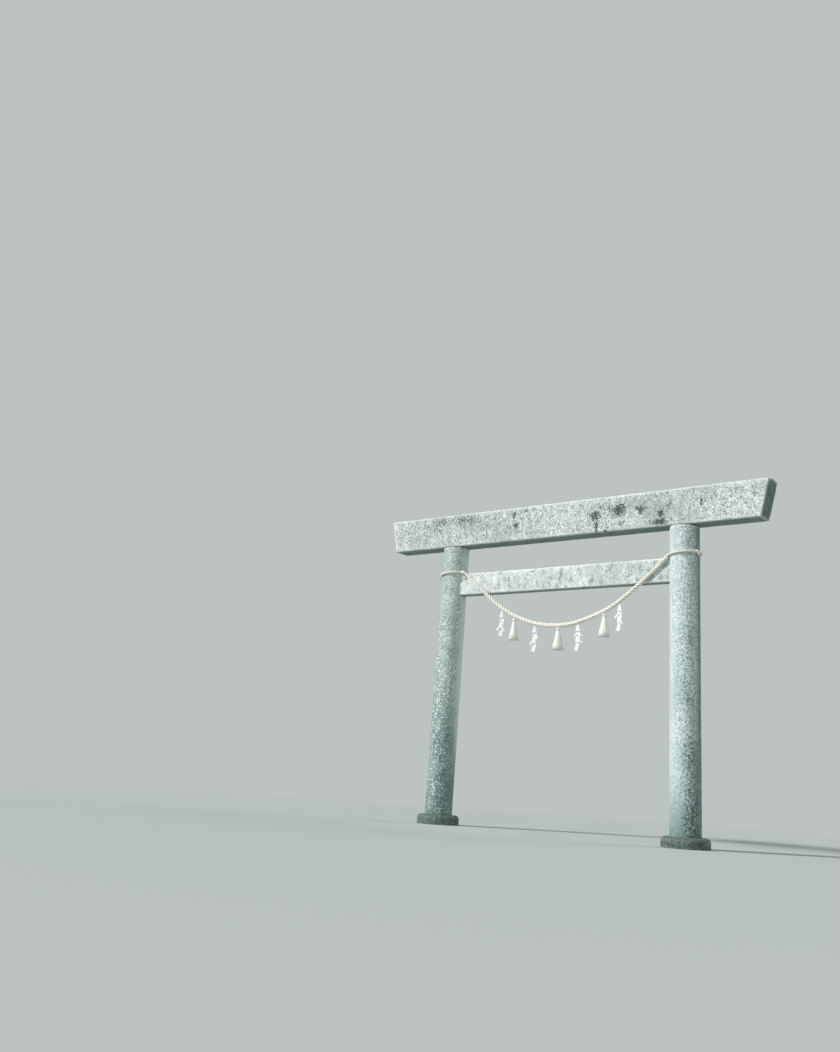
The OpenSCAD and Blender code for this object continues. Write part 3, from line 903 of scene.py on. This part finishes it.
def dress_stone(node, material, voxel, chip, grown):
    """Replaces a stone by its worn skin, and stores what grows on it, its painted shade and painted light.
    """
    mesh = remeshed(node, voxel)
    points = read_all(mesh.vertices, "co", 3).astype(float)
    edges = read_all(mesh.edges, "vertices", 2, np.int32)
    normals = read_all(mesh.vertices, "normal", 3).astype(float)
    proud = ((points - relaxed(points, edges, EDGE_ROUNDS)) * normals).sum(axis=1)
    worn = (proud / np.percentile(proud, 99)).clip(0, 1)
    bite = (lumps(points, NICK_SIZE, 4) + 0.15).clip(0, 1) * chip * worn**2
    relief = SWELL * lumps(points, SWELL_SIZE) + RIPPLE * lumps(points, RIPPLE_SIZE, 2)
    points += normals * (relief - bite)[:, None]
    points[:, 2] = points[:, 2].clip(0)
    mesh.vertices.foreach_set("co", points.astype(np.float32).ravel())
    mesh.materials.clear()
    mesh.materials.append(material)
    mesh.shade_smooth()
    skin = bpy.data.objects.new(node + "_stone", mesh)
    scene.collection.objects.link(skin)
    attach(skin, "root")
    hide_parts(node)
    store(skin, "worn", worn)
    for key, amount in zip(("algae_and_shade", "lichen", "chalk", "even"), grown(points, normals)):
        store(skin, key, np.broadcast_to(np.clip(amount, 0, 1), len(points)))
    return skin

# %% [markdown]
# ## What grows on the beams, and their painted shade
#
# Each function below gives four amounts at each point: algae with painted shade, dark lichen with a
# painted shadow in the pillars' joint, pale lichen, and where the mottle is painted plain, as painted
# light. Algae and painted shade darken the undersides and whatever faces away from the sun.
#
# The lintel's front carries dark clusters, some with a run below them where rain has carried spores
# down. Each row gives a cluster's middle along the lintel and above its underside, its half width
# and half height, all in metres, and its strength.

# %% On the beams
LINTEL_DARK = [
    (0.51, 0.20, 0.09, 0.09, 1.0), (0.52, 0.08, 0.025, 0.10, 1.0), (0.78, 0.24, 0.12, 0.09, 1.0),
    (0.58, 0.30, 0.06, 0.05, 0.7), (1.07, 0.21, 0.07, 0.06, 0.9), (0.83, 0.08, 0.05, 0.04, 0.7),
    (1.30, 0.05, 0.10, 0.04, 1.0), (1.32, 0.14, 0.05, 0.06, 0.7), (1.42, 0.24, 0.05, 0.05, 0.6),
    (1.79, 0.24, 0.02, 0.07, 0.9), (-0.58, 0.18, 0.04, 0.05, 1.0), (-0.60, 0.31, 0.04, 0.08, 0.8),
    (-0.43, 0.36, 0.08, 0.03, 0.6), (-0.90, 0.31, 0.04, 0.04, 0.6), (-1.60, 0.32, 0.55, 0.08, 0.55),
    (-2.25, 0.22, 0.26, 0.13, 0.50), (-1.72, 0.24, 0.14, 0.09, 0.55), (2.12, 0.32, 0.08, 0.05, 0.4),
    (2.39, 0.25, 0.05, 0.04, 0.5), (0.64, 0.01, 0.03, 0.02, 0.9)]
LINTEL_PALE = [(0.95, 0.10, 0.35, 0.12, 0.9), (-0.2, 0.08, 0.5, 0.10, 0.5), (1.9, 0.10, 0.4, 0.10, 0.4)]


def bell(value, middle, width):
    """1 in the middle, falling away smoothly on both sides."""
    return np.exp(-((value - middle) / width) ** 2)


def clusters(points, base, rows):
    """How strongly each point of the front lies inside one of the given clusters."""
    strength = []
    for x, z, wide, tall, much in rows:
        strength.append(much * bell(points[:, 0], x, wide) * bell(points[:, 2], base + z, tall))
    return np.max(strength, axis=0) * (points[:, 1] < 0)


def beam_algae_and_shade(normals):
    """Algae on a beam's top, and algae with painted shade under it and on the end that faces away from the
    sun.
    """
    # Painted shade: the underside and the far end get algae that partly stand for their shade.
    under, end, top = -normals[:, 2], normals[:, 0], normals[:, 2]
    return 0.75 * under.clip(0, 1) + end.clip(0, 1) ** 2 + 0.45 * top.clip(0, 1)


def on_lintel(points, normals):
    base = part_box("lintel")[0].z
    dark, pale = (clusters(points, base, rows) for rows in (LINTEL_DARK, LINTEL_PALE))
    return beam_algae_and_shade(normals), dark, pale, 0


def on_beam(points, normals):
    return beam_algae_and_shade(normals), 0.07, 0.2, 0

# %% [markdown]
# ## What grows on the pillars and plinths, and their painted light and shade
#
# Algae climb up the pillars from the ground, and a painted shadow darkens the joint under the lintel.
# The left pillar's film is partly algae and partly painted shade, as if it stood in the shade of
# trees, and it is thickest on the side towards the sun. It thins upwards and towards the back. The
# smooth side towards the passage has less film and is painted lighter and plain, as painted light,
# and pale lichen stands out on the film in specks. The right pillar is cleaner: dark specks gather
# on the side between sun and shade, the film on its shaded side is partly painted shade, and its
# sunlit side is painted plain, as painted light. A side is given by its bearing.

# %% On the pillars and plinths
def painted_joint_shadow(points):
    """Painted shadow in the joint where a pillar meets the lintel."""
    return bell(points[:, 2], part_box("lintel")[0].z, 9 * MM)


def facing(normals, middle, width):
    """How closely a pillar's surface faces one way, in degrees from the front towards the right."""
    bearing = np.degrees(np.arctan2(normals[:, 0], -normals[:, 1]))
    return bell((bearing - middle + 180) % 360, 180, width)


def pillar_algae_and_shade(points, film):
    """Algae near the ground, painted shadow in the lintel's joint, over a film that differs by side."""
    # Painted shadow: the joint under the lintel is added to the algae amount.
    return film + 0.80 * (1 - points[:, 2] / 1.6).clip(0, 1) ** 1.5 + 0.9 * painted_joint_shadow(points)


def on_left_pillar(points, normals):
    z, painted_light_side = points[:, 2], facing(normals, 106, 30)
    scrape = facing(normals, 4, 14) * bell(z, 0.46, 0.11)
    # Painted shade: a thick film all over, thickest towards the sun, is partly the shade of trees.
    film = 0.74 - 0.14 * z + 0.20 * facing(normals, -40, 40)
    # Painted light: the side towards the passage gets less film, fewer specks and the plain middle colour.
    film = film - 0.30 * painted_light_side - 0.25 * facing(normals, 180, 60)
    specks = 0.62 + 0.18 * bell(z, 1.6, 1.5) - 0.6 * painted_light_side
    # Painted shadow: the joint under the lintel darkens the dark lichen too.
    dark = 0.22 * (1 - painted_light_side) + painted_joint_shadow(points)
    return pillar_algae_and_shade(points, film) - 0.4 * scrape, dark, specks + 0.15 * scrape, 0.85 * painted_light_side


def on_right_pillar(points, normals):
    z, band = points[:, 2], facing(normals, 42, 38)
    above_beam = z > TIE_HIGH.z + 60 * MM
    # Painted shade: the film on the side away from the sun is partly algae and partly painted shade.
    film = 0.12 * above_beam + 1.4 * facing(normals, 125, 50)
    # Painted shadow: the joint under the lintel darkens the dark lichen too.
    dark = 0.05 + (0.62 - 0.06 * z) * band + painted_joint_shadow(points)
    pale = 0.05 + (0.75 - 0.2 * z) * band
    # Painted light: the side that faces the sun is painted in the plain middle colour.
    return pillar_algae_and_shade(points, film), dark, pale, 0.6 * facing(normals, -50, 38)


def on_plinth(points, normals):
    return 0.30 + 0.25 * normals[:, 2].clip(0, 1), 0, 0.35, 0

# %% [markdown]
# Finer voxels keep a small stone's shoulders, and coarser ones are enough for the lintel, whose edges
# have lost chips up to 7 mm deep.

# %% Dress the stones
stones = [
    dress_stone("lintel", lintel_granite, voxel=10 * MM, chip=7 * MM, grown=on_lintel),
    dress_stone("tie_beam", beam_granite, voxel=8 * MM, chip=4 * MM, grown=on_beam)]
for side, grown in (("left", on_left_pillar), ("right", on_right_pillar)):
    stones.append(dress_stone(side + "_pillar", pillar_granite, 8 * MM, 3 * MM, grown))
for side in ("left", "right"):
    for half in ("outer", "inner"):
        node = f"{side}_plinth_{half}"
        stones.append(dress_stone(node, plinth_granite, 6 * MM, 6 * MM, on_plinth))
print("Stones", {stone.name: len(stone.data.polygons) for stone in stones})

# %% [markdown]
# ## Floor and light
#
# The gate stands on a plain pale floor. Between 2.5 m and 15 m from the middle the floor turns into
# the background's own colour, so no horizon cuts behind the pillars.

# %% Floor
BACKGROUND = "BCC3C1"
FLOOR_RADIUS = 120
FADE_START, FADE_END = 2.5, 15
bpy.ops.mesh.primitive_circle_add(vertices=96, radius=FLOOR_RADIUS, fill_type="NGON")
floor = bpy.context.object
floor.name = "floor"
floor_material, tree, shader = start_material("pale_floor", roughness=0.9, ior=1.45)
shader.inputs["Base Color"].default_value = colour("B2B8B6")
place = add(tree, "TexCoord", {}, "Object")
away = add(tree, "VectorMath", {0: place}, "Value", operation="LENGTH")
far = add(tree, "MapRange", {0: away, 1: FADE_START, 2: FADE_END}, **SMOOTH)
glow = add(tree, "Emission", {"Color": colour(BACKGROUND)})
fade = add(tree, "MixShader", {0: far, 1: shader.outputs[0], 2: glow})
tree.links.new(fade, tree.nodes["Material Output"].inputs["Surface"])
floor.data.materials.append(floor_material)
print("Floor", 2 * FLOOR_RADIUS, "m across")

# %% [markdown]
# The key light is a sun on the left, 38 degrees up, with a wide disc, as through thin cloud. A pale
# sky fills the shade, and two weak suns lift the right-hand faces and the back. Together they light a
# surface that faces the key to about the colour that its material says. Stone, straw and paper mirror
# nothing, so only the camera has to see the background's colour.

# %% Sky and suns
scene.view_settings.view_transform = "Standard"
world = bpy.data.worlds.new("sky")
scene.world = world
world.use_nodes = True
tree = world.node_tree
tree.nodes.clear()
seen = add(tree, "LightPath", {}, "Is Camera Ray")
fill = add(tree, "Background", {"Color": colour("D6E2DF"), "Strength": 0.36})
back = add(tree, "Background", {"Color": colour(BACKGROUND), "Strength": 1.0})
add(tree, "OutputWorld", {"Surface": add(tree, "MixShader", {0: seen, 1: fill, 2: back})})


def sun(name, azimuth, elevation, strength, disc):
    """A far light. Azimuth is measured from the front towards the right."""
    lamp = bpy.data.objects.new(name, bpy.data.lights.new(name, "SUN"))
    scene.collection.objects.link(lamp)
    lamp.data.energy, lamp.data.angle = strength, math.radians(disc)
    a, e = math.radians(azimuth), math.radians(elevation)
    way = Vector((math.sin(a) * math.cos(e), -math.cos(a) * math.cos(e), math.sin(e)))
    lamp.rotation_euler = way.to_track_quat("Z", "Y").to_euler()
    print("Sun", name, strength)


sun("key", azimuth=-40, elevation=38, strength=3.2, disc=9)
sun("front", azimuth=35, elevation=12, strength=0.35, disc=50)
sun("rim", azimuth=150, elevation=45, strength=0.7, disc=30)
